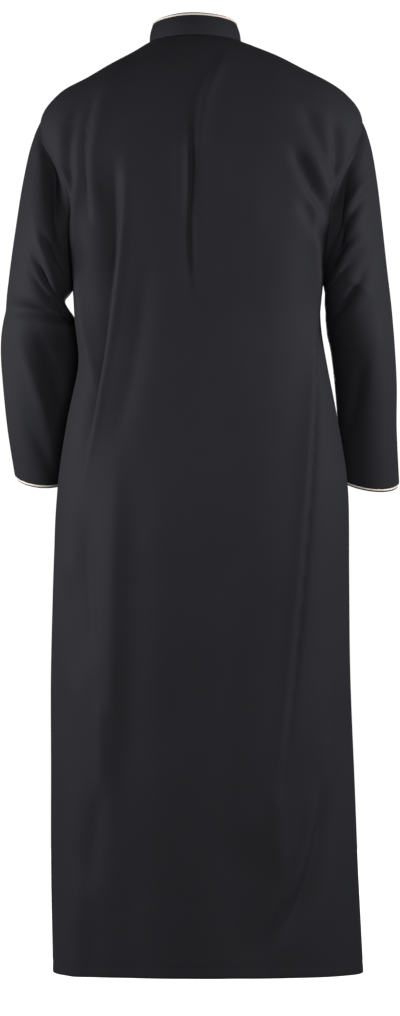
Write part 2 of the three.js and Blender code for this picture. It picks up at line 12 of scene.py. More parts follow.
import bpy
import numpy as np
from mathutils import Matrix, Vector


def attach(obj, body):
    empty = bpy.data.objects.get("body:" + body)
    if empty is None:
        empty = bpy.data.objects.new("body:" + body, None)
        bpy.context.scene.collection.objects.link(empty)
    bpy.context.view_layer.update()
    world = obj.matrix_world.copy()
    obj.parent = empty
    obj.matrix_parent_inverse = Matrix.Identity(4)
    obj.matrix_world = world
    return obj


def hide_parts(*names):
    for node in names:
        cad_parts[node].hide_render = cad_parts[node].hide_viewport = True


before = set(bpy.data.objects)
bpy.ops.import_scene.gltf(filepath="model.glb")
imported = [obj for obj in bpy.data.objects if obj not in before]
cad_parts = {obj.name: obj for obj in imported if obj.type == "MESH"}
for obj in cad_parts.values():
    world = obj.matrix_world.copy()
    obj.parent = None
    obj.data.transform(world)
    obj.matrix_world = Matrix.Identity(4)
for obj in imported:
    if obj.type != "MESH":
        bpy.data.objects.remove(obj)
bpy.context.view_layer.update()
MM = 0.001
print("nodes to dress:", sorted(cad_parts))

# %% [markdown]
# ## Tables that describe the garment
#
# A tailor's dummy is a stack of rings, and so is this garment. Each row below is one ring of the
# body from the neck to the hem, in millimetres: how high it lies at the side, centre back and
# centre front, how far it reaches, how far its middle is moved sideways, and how square its corners
# are (2 is an ellipse). Between the rows a smooth curve fills in. A short table is easier to
# correct than a sculpted mesh.


# %% Ring tables
def ring_table(columns, rows):
    """One array for each named column of a short table."""
    return dict(zip(columns.split(), np.array(rows, float).T))


BODY_COLUMNS = "side_z back_z front_z half_width back front shift square"
BODY = ring_table(
    BODY_COLUMNS,
    [
        (0, 5, -62, 69, 62, 72, 7, 2.0),
        (-24, -14, -84, 118, 78, 85, -2, 2.1),
        (-54, -45, -108, 174, 95, 97, -5, 2.3),
        (-78, -84, -134, 216, 108, 107, -4, 2.6),
        (-116, -128, -166, 241, 117, 116, -2, 2.8),
        (-176, -182, -206, 232, 123, 126, -2, 2.9),
        (-258, -260, -270, 205, 124, 134, 0, 2.8),
        (-360, -360, -360, 186, 118, 136, 2, 2.6),
        (-416, -416, -416, 183, 111, 134, 2, 2.5),
        (-480, -480, -480, 186, 111, 132, -4, 2.4),
        (-570, -570, -570, 203.5, 118, 133, -3.5, 2.3),
        (-672, -672, -672, 218, 130, 137, -4, 2.2),
        (-800, -800, -800, 222, 134, 140, -2, 2.2),
        (-950, -950, -950, 225, 135, 143, -1, 2.2),
        (-1100, -1100, -1104, 228, 138, 146, -4, 2.2),
        (-1250, -1248, -1262, 231, 142, 149, -7, 2.2),
        (-1396, -1388, -1420, 233, 147, 152, -12, 2.2),
    ],
)
SHOULDER_END, ARMPIT = 4, 7  # the rings between which an armhole lies

COLLAR = ring_table(
    BODY_COLUMNS,
    [
        (0, 5, -62, 69, 62, 72, 7, 2.0),
        (14, 22, -46, 67, 60, 71, 7.3, 2.0),
        (26.5, 36, -31, 63.5, 56, 67, 7.5, 2.0),
    ],
)

# A sleeve's rings run from the armhole to the cuff: the outermost and innermost point of each, its
# middle and half depth from front to back, and how much lower its back hangs.
SLEEVE_COLUMNS = "out_x out_z in_x in_z mid_y deep drop"
SLEEVES = {
    "left": ring_table(
        SLEEVE_COLUMNS,
        [
            (238, -116, 188, -362, 1, 84, 0),
            (247, -136, 190, -365, 1, 84, 0),
            (257, -168, 191, -370, 1, 82, 0),
            (267, -216, 196, -377, 0, 79, 0),
            (275.5, -270, 204, -388, -8, 76, 0),
            (285.5, -334, 196, -403, -24, 72, 0),
            (294, -396, 183, -427, -42, 67, 0),
            (301.5, -450, 181, -460, -52, 62, 4),
            (299.5, -510, 184, -508, -62, 57, 10),
            (293.5, -578, 190, -574, -80, 52, 15),
            (284, -644, 194, -648, -104, 47, 18),
        ],
    ),
    "right": ring_table(
        SLEEVE_COLUMNS,
        [
            (241, -116, 184, -362, 1, 84, 0),
            (250, -136, 186, -365, 1, 84, 0),
            (259, -168, 187, -370, 0, 82, 0),
            (267, -216, 188, -377, -2, 79, 0),
            (273.5, -270, 188, -388, -8, 76, 0),
            (281, -334, 189, -404, -17, 72, 0),
            (289, -396, 192, -426, -27, 67, 0),
            (294, -450, 199, -460, -36, 64, 2),
            (298, -512, 206, -512, -50, 58, 6),
            (299, -580, 211, -574, -70, 52, 12),
            (304, -658, 212, -646, -94, 47, 17),
        ],
    ),
}
print("body rings:", len(BODY["back"]), " sleeve rings:", len(SLEEVES["left"]["deep"]))

# %% [markdown]
# ## Curves and surfaces
#
# Every piece is a surface of two parameters: the turn round the body or arm, and the place down it,
# counted in rings. numpy works out whole grids of them at once, which is quick enough to try again
# and again.


# %% Curves through the tables
def between(values, place):
    """A smooth curve through the values at whole places. Each stretch is a cubic, and its slope
    at a value is half the step from the value before to the one after."""
    last = len(values) - 1
    start = np.clip(np.floor(place).astype(int), 0, last - 1)
    t = place - start
    p0, p1, p2, p3 = (values[np.clip(start + k, 0, last)] for k in (-1, 0, 1, 2))
    m1, m2 = (p2 - p0) / 2, (p3 - p1) / 2
    return (
        (2 * t**3 - 3 * t**2 + 1) * p1
        + (t**3 - 2 * t**2 + t) * m1
        + (3 * t**2 - 2 * t**3) * p2
        + (t**3 - t**2) * m2
    )


def smooth_step(t):
    """0 below 0, 1 above 1, and an S curve between."""
    t = np.clip(t, 0, 1)
    return t * t * (3 - 2 * t)


def stacked(x, y, z):
    """Three arrays as one array of points."""
    return np.stack(np.broadcast_arrays(x, y, z), axis=-1)


def unit(vectors):
    """Vectors of length one."""
    return vectors / np.maximum(np.linalg.norm(vectors, axis=-1, keepdims=True), 1e-9)


# %% Rings of the body and the collar
LIFT_POWER = 1.2  # how a ring's height changes from its side to its centre


def ring_point(rings, turn, place, facing):
    """A point of a ring. turn is 0 at the left side, positive over the back and negative over the
    front. The ring is an ellipse, x = a cos, y = b sin, pushed out until |x/a|^n + |y/b|^n = 1."""
    at = {name: between(column, place) for name, column in rings.items()}
    c, s = np.cos(turn), np.sin(turn)
    push = (abs(c) ** at["square"] + abs(s) ** at["square"]) ** (-1 / at["square"])
    towards_centre = (abs(s) * push) ** LIFT_POWER
    return stacked(
        at["shift"] + at["half_width"] * c * push,
        at[facing] * s * push,
        at["side_z"] + (at[facing + "_z"] - at["side_z"]) * towards_centre,
    )


def ways_out(grid, sign, wraps=False):
    """Unit normals of a grid of points: the cross product of the steps along its rows and down its
    columns, times sign."""
    if wraps:
        along = np.roll(grid, -1, axis=1) - np.roll(grid, 1, axis=1)
    else:
        along = np.gradient(grid, axis=1)
    return sign * unit(np.cross(along, np.gradient(grid, axis=0)))


print("centre back at the waist, mm:", ring_point(BODY, np.pi / 2, 8.0, "back").round(1))


# %% [markdown]
# ## Folds
#
# A fold in heavy twill is a long soft ridge or trough. It has a line that it follows, a width over
# which it fades, and often one side steeper than the other. The main ones are placed where
# the garment pulls: down the spine, from the shoulder blades to the hips, and from each armpit. A
# very low waviness from a few sines is added all over, because no real cloth is perfectly smooth
# between its folds.

# %% Tables of folds
# Columns: top x and z, x at half height, foot x and z, width, lean (the side that is steeper),
# crest (1 is sharp, 2 round) and height.
FOLDS = {
    "back": [
        (0, -66, 15, 7, -420, 7.5, 0.15, 1.6, -9),  # down the spine
        (-45, -12, -2, 3, -215, 9, -0.3, 1.3, 7),  # from the collar across it
        (24, -110, 27, 18, -300, 12, 0.0, 1.8, 4),
        (116, -150, 140, 194, -720, 10, 0.7, 1.4, -14),  # from the left shoulder blade to the hip
        (104, -150, 131, 186, -720, 6, 0.0, 1.5, 5),
        (128, -160, 131, 148, -430, 17, 0.6, 1.9, -10),  # the hollow beside it
        (190, -165, 179, 152, -560, 8, 0.2, 1.3, 9),  # down from the left armhole
        (80, -300, 96, 138, -640, 18, 0.0, 1.8, -5),
        (146, -66, 172, 160, -290, 12, 0.7, 1.7, -14),  # down beside the left armhole
        (134, -70, 158, 147, -290, 8, 0.0, 1.8, 3),
        (178, -90, 198, 188, -250, 8, 0.0, 1.8, -9),
        (-150, -96, -174, -194, -206, 12, 0.0, 1.9, -9),  # slanting to the right armhole
        (-192, -108, -206, -200, -232, 8, 0.0, 1.8, -12),  # close beside it
        (-134, -150, -160, -196, -276, 13, -0.2, 1.8, -12),
        (-160, -150, -178, -198, -262, 10, 0.0, 1.9, 6),
        (-146, -230, -166, -188, -318, 12, 0.0, 1.9, -6),
        (-172, -215, -171, -176, -420, 8, 0.2, 1.4, 8),  # at the right side
        (-178, -300, -151, -106, -1180, 8, 0.4, 1.3, 10),  # from the right armpit to the shin
        (-187, -310, -159, -113, -1160, 5, 0.0, 1.4, -9),  # beside it
        (-182, -1095, -168, -106, -1352, 15, -0.5, 1.5, -15),  # low right, sweeping in
        (-166, -1090, -150, -92, -1330, 9, 0.0, 1.8, 6),
        (-70, -1150, -74, -76, -1420, 32, 0.0, 2, -8),
        (-106, -1080, -114, -116, -1260, 12, 0.0, 1.8, 4),
        (120, -560, 126, 134, -1230, 24, 0.4, 1.4, 11),  # low left, broad
        (170, -680, 164, 158, -960, 15, 0.2, 2, -8),
        (194, -780, 192, 186, -980, 15, 0.0, 2, -8),
        (146, -960, 143, 146, -1130, 9, 0.0, 1.8, 5),
        (150, -1110, 158, 166, -1280, 14, 0.0, 1.8, -5),
        (60, -430, 58, 44, -1420, 34, 0.0, 2, 4),  # wide waves of the skirt
        (-58, -500, -48, -30, -1450, 32, 0.0, 2, -4),
        (2, -880, -4, -10, -1520, 28, 0.0, 2, 3),
        (102, -1180, 106, 110, -1520, 26, 0.2, 2, -3),
        (-70, -1160, -76, -84, -1520, 24, -0.2, 2, 3),
        (206, -700, 212, 214, -1480, 16, 0.0, 2, -8),
        (-206, -760, -214, -222, -1480, 15, 0.0, 2, -8),
        (178, -1200, 180, 182, -1500, 14, 0.0, 2, 6.5),
    ],
    "front": [
        (146, -118, 158, 150, -320, 9, 0.0, 1.6, -9.5),  # at the armholes
        (128, -150, 146, 158, -350, 10, 0.2, 1.6, -9.5),
        (-148, -118, -160, -152, -330, 9, 0.0, 1.6, -9.5),
        (-130, -150, -147, -160, -350, 10, 0.2, 1.6, -9.5),
        (92, -90, 84, 96, -330, 24, 0.0, 2, 6.5),  # over the chest
        (-88, -96, -82, -94, -320, 24, 0.0, 2, 6.5),
        (100, -250, 122, 130, -720, 14, 0.4, 1.4, 13),
        (-96, -262, -120, -134, -790, 14, 0.4, 1.4, 13),
        (124, -300, 146, 152, -560, 13, 0.0, 1.7, -11),
        (-120, -320, -144, -156, -600, 13, 0.0, 1.7, -11),
        (62, -400, 72, 70, -1520, 22, 0.2, 1.8, -11),  # down the skirt
        (-58, -440, -74, -80, -1520, 22, -0.2, 1.8, -11),
        (30, -430, 16, -16, -1540, 24, 0.0, 1.8, 9.5),
        (142, -640, 150, 146, -1520, 17, 0.3, 1.6, 13),
        (-140, -700, -156, -160, -1520, 17, -0.3, 1.6, 13),
        (110, -900, 112, 112, -1540, 14, 0.0, 1.8, -8),
        (-112, -1000, -118, -120, -1540, 14, 0.0, 1.8, -8),
        (196, -800, 202, 204, -1540, 14, 0.0, 1.8, -9.5),
        (-198, -760, -206, -212, -1540, 14, 0.0, 1.8, -9.5),
        (-20, -980, -34, -44, -1540, 18, 0.0, 1.8, 6.5),
    ],
}
print("folds on the back and on the front:", len(FOLDS["back"]), len(FOLDS["front"]))

# %% Height of the folds
FOLD_TAPER = 0.35  # the share of a fold's length over which it rises
CREST_ROUNDING = 0.02  # keeps the top of a sharp fold from being a knife edge


def fold_height(rows, x, z):
    """The sum of soft ridges. Each follows the parabola through its top, middle and foot. Across,
    it falls off as exp(-|d|^crest), d being the distance over the width. Along, it rises over
    FOLD_TAPER of its length, stays, and falls again."""
    total = np.zeros_like(x)
    for top_x, top_z, mid_x, foot_x, foot_z, width, lean, crest, height in rows:
        t = np.clip((top_z - z) / (top_z - foot_z), 0, 1)
        line = top_x * (1 - t) * (1 - 2 * t) + mid_x * 4 * t * (1 - t) + foot_x * t * (2 * t - 1)
        d = (x - line) / width
        d = d / np.where(d > 0, 1 + lean, 1 - lean)
        across = np.exp(-((d * d + CREST_ROUNDING) ** (crest / 2)))
        total += height * across * smooth_step(np.minimum(t, 1 - t) / FOLD_TAPER)
    return total


_, top_z, middle_x, _, foot_z = FOLDS["back"][0][:5]
half_way = np.array([[middle_x], [(top_z + foot_z) / 2]])
depth = -fold_height(FOLDS["back"][:1], *half_way)[0]
print("half way, the fold down the spine is", depth.round(1), "mm deep")

# %% Waviness
WAVES = 9
WAVE_HEIGHT = 0.45
WAVE_LENGTHS, WAVE_SLOPES, WAVE_PHASES = (60, 190), (-0.5, 0.5), (0, 6.3)
WAVE_SEEDS = {"back": 11, "front": 23, "left": 31, "right": 47}


def waviness(across, down, name):
    """A sum of sines, sin(2 pi (across + slope down) / length + phase). The lengths in millimetres,
    slopes and phases come from a generator with a seed for each piece."""
    rng = np.random.default_rng(WAVE_SEEDS[name])
    waves = [rng.uniform(*reach, WAVES) for reach in (WAVE_LENGTHS, WAVE_SLOPES, WAVE_PHASES)]
    total = np.zeros_like(across)
    for length, slope, phase in zip(*waves):
        total += np.sin(2 * np.pi * (across + slope * down) / length + phase)
    return total * WAVE_HEIGHT / math.sqrt(WAVES)


# %% [markdown]
# ## Armholes
#
# Where a sleeve is set in, the panel's edge curves in from the side. The same curve, read from the
# shoulder over the back, the armpit and the front, is the sleeve's first ring, so the two pieces
# meet all round.

# %% Armholes
ARMHOLE_BITE = {"back": 0.56, "front": 0.62}  # radians that it takes off the panel
ARMHOLE_ROUNDNESS = 0.8
# places on the body's rings at even shares of the way round from the shoulder to the armpit
ARMHOLE_PLACES = np.array([4, 4.333333, 4.666667, 5, 5.25, 5.5, 5.75, 6, 6.25, 6.5, 6.75, 7])


def armhole_turn(place, facing):
    """How far the armhole's edge lies from the side: a sine of the share of the way down, to a
    power."""
    t = np.clip((place - SHOULDER_END) / (ARMPIT - SHOULDER_END), 0, 1)
    return ARMHOLE_BITE[facing] * np.sin(np.pi * t) ** ARMHOLE_ROUNDNESS


def armhole_edge(side, turn_round):
    """The armhole's edge, by the turn round it from the shoulder over the back."""
    half = (turn_round / np.pi) % 2
    share = np.where(half <= 1, half, 2 - half)
    place = np.interp(share, np.linspace(0, 1, len(ARMHOLE_PLACES)), ARMHOLE_PLACES)
    found = {}
    for facing, sign in (("back", 1), ("front", -1)):
        edge = armhole_turn(place, facing)
        turn = edge if side == "left" else np.pi - edge
        found[facing] = ring_point(BODY, sign * turn, place, facing)
    return np.where((half <= 1)[..., None], found["back"], found["front"])


rim = armhole_edge("left", np.linspace(0, 2 * np.pi, 200))
print("armhole, mm round:", np.linalg.norm(np.diff(rim, axis=0), axis=1).sum().round())


# %% [markdown]
# ## From a grid to a piece of cloth
#
# A grid of points becomes a mesh of quads. Its texture coordinates are the distances along and down
# the cloth, so a weave keeps its size and follows the piece. A Solidify modifier then gives the
# sheet a thickness, inwards from the outside that was drawn. A thin shell like this shows its edge
# at the neck, cuffs and hem.


# %% Mesh from a grid
def run_of(grid, axis):
    """Distance from the grid's first row or column, in metres, measured along the grid."""
    step = np.linalg.norm(np.diff(grid, axis=axis), axis=-1)
    shape = [(0, 0), (0, 0)]
    shape[axis] = (1, 0)
    return np.cumsum(np.pad(step, shape), axis=axis) * MM


def mesh_from_grid(name, grid, wraps=False, turned=False):
    """Quads between the neighbours of a grid of points in millimetres. wraps joins the last column
    to the first, and turned makes the faces look the other way."""
    rows, columns = grid.shape[:2]
    if wraps:
        grid = np.concatenate([grid, grid[:, :1]], axis=1)
    across = run_of(grid, 1)
    middle = across.shape[1] // 2
    across = across - across[:, middle : middle + 1]
    down = np.broadcast_to(run_of(grid, 0).mean(axis=1, keepdims=True), across.shape)
    uv = np.stack([across, -down], axis=-1)
    i, j = np.meshgrid(np.arange(rows - 1), np.arange(grid.shape[1] - 1), indexing="ij")
    corners = [(i, j), (i + 1, j), (i + 1, j + 1), (i, j + 1)]
    if turned:
        corners.reverse()
    index = np.stack([a * columns + b % columns for a, b in corners], axis=-1).reshape(-1, 4)
    corner_uv = np.stack([uv[a, b] for a, b in corners], axis=2).reshape(-1, 2)
    mesh = bpy.data.meshes.new(name)
    mesh.vertices.add(rows * columns)
    mesh.vertices.foreach_set("co", (grid[:, :columns] * MM).ravel())
    mesh.loops.add(index.size)
    mesh.loops.foreach_set("vertex_index", index.ravel())
    mesh.polygons.add(len(index))
    mesh.polygons.foreach_set("loop_start", np.arange(0, index.size, 4))
    mesh.polygons.foreach_set("use_smooth", np.ones(len(index), bool))
    mesh.uv_layers.new(name="cloth").data.foreach_set("uv", corner_uv.ravel())
    mesh.update()
    mesh.validate()
    return mesh


def piece(node, mesh, material):
    """An object at the origin that stands for a node, moves with the garment and takes a finish."""
    made = bpy.data.objects.new("sewn_" + node, mesh)
    bpy.context.collection.objects.link(made)
    made.data.materials.append(material)
    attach(made, "root")
    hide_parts(node)
    return made


def thicken(made, thickness):
    """Gives a sheet its thickness, inwards from its faces."""
    solid = made.modifiers.new("thickness", "SOLIDIFY")
    solid.thickness = thickness * MM
    solid.offset = -1
    return made


# %% [markdown]
# ## Writing materials as arithmetic
#
# A shader graph is easier to read as a sum. Signal wraps one output of the graph, and +, - and * on
# it add Math nodes. Any other node comes from Finish.node, which takes the node's type, its
# settings and the values or links of its inputs. Two short methods stand for what every finish here
# needs: noise that is tied to the cloth, and a colour between two others.


# %% Shader helpers
class Signal:
    """A number that varies over the surface, and does arithmetic by adding Math nodes."""

    def __init__(self, finish, socket):
        self.finish, self.socket = finish, socket

    def maths(self, operation, *values):
        return self.finish.node("ShaderNodeMath", {"operation": operation}, dict(enumerate(values)))

    def __add__(self, other):
        return self.maths("ADD", self, other)

    def __sub__(self, other):
        return self.maths("SUBTRACT", self, other)

    def __rsub__(self, other):
        return self.maths("SUBTRACT", other, self)

    def __mul__(self, other):
        return self.maths("MULTIPLY", self, other)

    __radd__, __rmul__ = __add__, __mul__

    def sine(self):
        return self.maths("SINE", self)

    def ranged(self, low, high):
        """The number, if it runs from 0 to 1, brought to run from low to high."""
        return self * (high - low) + low


class Finish:
    """A material being written. constants are set on the shader's own sockets."""

    def __init__(self, name, constants):
        self.material = bpy.data.materials.new(name)
        self.material.use_nodes = True
        self.tree = self.material.node_tree
        self.shader = next(n for n in self.tree.nodes if n.type == "BSDF_PRINCIPLED")
        for socket, value in constants.items():
            self.shader.inputs[socket].default_value = value

    def join(self, value, socket):
        """Links a Signal to a socket, or sets the socket to a plain value."""
        if isinstance(value, Signal):
            self.tree.links.new(value.socket, socket)
        else:
            socket.default_value = value

    def node(self, kind, settings, inputs, output=0):
        """Adds a node by its type, its settings, and the values or links of its inputs."""
        made = self.tree.nodes.new(kind)
        for key, value in settings.items():
            setattr(made, key, value)
        for key, value in inputs.items():
            self.join(value, made.inputs[key])
        return Signal(self, made.outputs[output])

    def feed(self, socket, signal):
        self.join(signal, self.shader.inputs[socket])

    def cloth_place(self):
        """The place on the cloth, from the piece's own texture coordinates, in metres."""
        return self.node("ShaderNodeUVMap", {"uv_map": "cloth"}, {})

    def noise(self, scale, detail):
        """Soft noise from 0 to 1, with about as many blotches to a metre of cloth as scale says."""
        inputs = {"Vector": self.cloth_place(), "Scale": scale, "Detail": detail}
        return self.node("ShaderNodeTexNoise", {}, inputs)

    def mix(self, mask, dark, light):
        """A colour from dark to light as the mask goes from 0 to 1. Sockets 6, 7 and output 2 are
        the Mix node's colours."""
        inputs = {0: mask, 6: (*dark, 1), 7: (*light, 1)}
        return self.node("ShaderNodeMix", {"data_type": "RGBA"}, inputs, 2)


# %% [markdown]
# ## The black twill
#
# The cloth is a smooth, almost matt black twill. Its diagonal ribs are far finer than a screen
# shows from a few steps away, so they are a bump and no geometry: a sine across the cloth that
# slants as it goes down, made uneven by a noise as fine as the yarns. A slow noise shifts the tone
# and the roughness a little, since dyed cloth is never quite even. Gloss and sheen would turn black
# cloth grey along its edges, so both are kept close to nothing, and the folds show by how the light
# falls on them.

# %% Twill
CLOTH_COLOUR = np.array([0.0185, 0.0188, 0.0222])
TONE_CHANGE = 0.14  # the share by which the slow noise darkens or lightens it
PATCHES, YARNS = 7.0, 620.0  # the noises' blotches to a metre
RIB_PITCH = 0.0009  # in metres, as the texture coordinates are
RIB_SLOPE = 0.55  # how much a rib moves sideways for each step down
RIB_UNEVENNESS = 2.5  # how many radians the yarns' noise shifts a rib

twill = Finish(
    "black_twill",
    {
        "Sheen Weight": 0.006,
        "Sheen Roughness": 0.4,
        "Sheen Tint": (0.9, 0.92, 1, 1),
        "Specular IOR Level": 0.03,
    },
)
across, down = (
    twill.node("ShaderNodeSeparateXYZ", {}, {"Vector": twill.cloth_place()}, k) for k in (0, 1)
)
patchy, yarn = twill.noise(PATCHES, 3.0), twill.noise(YARNS, 2.0)
slanting = across + down * RIB_SLOPE
rib = (slanting * (2 * math.pi / RIB_PITCH) + yarn * RIB_UNEVENNESS).sine()
relief = {"Strength": 0.16, "Distance": 0.00012, "Height": rib * 0.5 + yarn * 0.6}
tones = [CLOTH_COLOUR * (1 + change) for change in (-TONE_CHANGE, TONE_CHANGE)]
twill.feed("Base Color", twill.mix(patchy, *tones))
twill.feed("Roughness", patchy.ranged(0.58, 0.7))
twill.feed("Normal", twill.node("ShaderNodeBump", {}, relief))
print("black twill has", len(twill.tree.nodes), "nodes")


# %% A sheet of twill
def twill_sheet(node, grid, thickness, wraps=False, turned=False):
    """A piece of twill that stands for a node, with a grid of points for its outside."""
    mesh = mesh_from_grid(node, grid, wraps, turned)
    sheet = thicken(piece(node, mesh, twill.material), thickness)
    print(node, "has", len(mesh.polygons), "faces")
    return sheet


# %% [markdown]
# ## Piping and buttons
#
# The piping is champagne satin over a cord. Satin is woven so that it shines along its length, but
# on a cord 3 mm thick only its colour and a soft highlight show. The buttons are plain, dark and
# slightly glossy, with a faint cloud in their colour as in cast resin or horn.

# %% Satin and button
SATIN_DARK, SATIN_LIGHT = (0.58, 0.49, 0.42), (0.72, 0.63, 0.55)
SATIN_YARNS = 900.0  # to a metre

satin = Finish(
    "champagne_satin",
    {"Sheen Weight": 0.2, "Sheen Roughness": 0.4, "Specular IOR Level": 0.5},
)
yarn = satin.noise(SATIN_YARNS, 2.0)
satin.feed("Base Color", satin.mix(yarn, SATIN_DARK, SATIN_LIGHT))
satin.feed("Roughness", yarn.ranged(0.32, 0.52))

BUTTON_DARK, BUTTON_LIGHT = (0.008, 0.008, 0.010), (0.026, 0.024, 0.024)
BUTTON_CLOUDS = 260.0  # to a metre

button_finish = Finish("dark_button", {"Specular IOR Level": 0.4})
cloud = button_finish.noise(BUTTON_CLOUDS, 3.0)
button_finish.feed("Base Color", button_finish.mix(cloud, BUTTON_DARK, BUTTON_LIGHT))
button_finish.feed("Roughness", cloud.ranged(0.2, 0.4))
print("finishes:", twill.material.name, satin.material.name, button_finish.material.name)

# %% [markdown]
# ## Back and front
#
# Each panel runs from the neck and shoulders to the hem. Its grid has rows at even distances down
# the cloth, with a few close together at every edge, where the seam pulls the cloth in and the edge
# turns under. At the hem the cloth is folded up inside, as a tailor turns it, and stitched along
# the fold's upper edge.

# %% Rows and columns of the panels
CLOTH_THICKNESS = 0.9  # all lengths of cloth are in millimetres
PANEL_ROWS, PANEL_COLUMNS = 360, 124
ROW_EDGE, COLUMN_EDGE = 0.0012, 0.002  # give the close steps at the edges, as shares of the run
MEASURING_STEPS = 4000


def with_fine_ends(count, finest):
    """Shares from 0 to 1 in even steps, with two more close to each end."""
    middle = np.linspace(4 * finest, 1 - 4 * finest, count - 4)
    return np.concatenate([[0, 1.5 * finest], middle, [1 - 1.5 * finest, 1]])


def even_places(facing):
    """Places at even distances down the panel's centre line. The line is measured in short steps,
    and its run is read backwards."""
    fine = np.linspace(0, len(BODY["back"]) - 1, MEASURING_STEPS)
    line = ring_point(BODY, np.pi / 2 * (1 if facing == "back" else -1), fine, facing)
    run = np.concatenate([[0], np.cumsum(np.linalg.norm(np.diff(line, axis=0), axis=1))])
    print(facing, "is", run[-1].round(), "mm long down its middle")
    return np.interp(with_fine_ends(PANEL_ROWS, ROW_EDGE) * run[-1], run, fine)


row_places = {facing: even_places(facing) for facing in ("back", "front")}

# %% Seams and stitches
SEAM_FADE = 0.07  # radians from a seam over which folds die out
GROOVE_DEPTH, GROOVE_WIDTH = 0.7, 2.4  # where two pieces are sewn together
HEM_DEPTH = 14  # how far the hem is turned up
STITCH_DEPTH, STITCH_WIDTH = 0.5, 2.6  # where the hem's stitches pull the cloth in


def groove(distance, depth=GROOVE_DEPTH, width=GROOVE_WIDTH):
    """How a seam or stitches pull the cloth in at a distance: -depth exp(-(distance / width)^2)."""
    return -depth * np.exp(-((distance / width) ** 2))


# %% A panel's surface
def panel_surface(facing, share, place):
    """The panel's outside: the body's ring from one armhole or side to the other, at the turn
    edge + (pi - 2 edge) share, moved out by its folds, its waviness and its seams."""
    sign = 1 if facing == "back" else -1
    edge = armhole_turn(place, facing)
    turn = edge + (np.pi - 2 * edge) * share
    base = ring_point(BODY, sign * turn, place, facing)
    out = ways_out(base, -sign)
    from_seam = np.minimum(turn, np.pi - turn) - edge
    fade = smooth_step(from_seam / SEAM_FADE) * smooth_step(place)
    x, z = base[..., 0], base[..., 2]
    waves = waviness(x, z, facing) * smooth_step(place * 2)
    row_run = run_of(base, 1) / MM
    seams = groove(np.minimum(row_run, row_run[:, -1:] - row_run))
    column_run = run_of(base, 0) / MM
    stitches = groove(column_run[-1:] - column_run - HEM_DEPTH, STITCH_DEPTH, STITCH_WIDTH)
    height = fold_height(FOLDS[facing], x, z) * fade + waves * fade + seams + stitches
    return base + out * height[..., None], out


# %% Edges that turn in
LIP = 3.0  # how far a sewn edge turns in
HEM_FOLD = 1.6  # the gap between the cloth and its turned-up hem
HEM_SPREAD = 0.3  # how much further in the turned-up part lies
HEM_SAG = 0.4  # how far the fold rounds out below, in gaps
HEM_TURN = [(0.15, 0.6), (0.5, 1.0), (1.0, 0.6), (1.0, -0.4)]  # in by gaps, below by sags


def sewn_lips(grid, out, sides=False):
    """Adds a row at the top, and if asked a column at each side, that turn in, so that no light
    shows through a seam."""
    if sides:
        first, last = (grid[:, k] - LIP * out[:, k] for k in ([0], [-1]))
        grid = np.concatenate([first, grid, last], axis=1)
        out = np.concatenate([out[:, :1], out, out[:, -1:]], axis=1)
    grid = np.concatenate([grid[:1] - LIP * out[:1], grid])
    return grid, np.concatenate([out[:1], out])


def turned_hem(grid, out):
    """Adds rows that fold the last one up inside: in by the fold's gap, and back up by the hem's
    depth."""
    edge, inwards = grid[-1], -out[-1]
    up = unit(grid[-6] - edge)
    rows = [edge + (inwards * share - up * HEM_SAG * below) * HEM_FOLD for share, below in HEM_TURN]
    rows += [edge + inwards * (HEM_FOLD + HEM_SPREAD) + up * HEM_DEPTH * k for k in (0.5, 1.0)]
    return np.concatenate([grid, np.stack(rows)])


# %% Back and front
for facing, places in row_places.items():
    share, place = np.meshgrid(with_fine_ends(PANEL_COLUMNS, COLUMN_EDGE), places)
    grid, out = sewn_lips(*panel_surface(facing, share, place), sides=True)
    grid = turned_hem(grid, out)
    twill_sheet(facing, grid, CLOTH_THICKNESS, turned=facing == "back")

# %% [markdown]
# ## Sleeves
#
# A sleeve is a tube from the armhole to the cuff. Its folds lie across the arm: a hollow behind the
# armpit, where the cloth has nothing to lie on, and short slanting ones round the elbow, more of
# them on the arm that is bent.

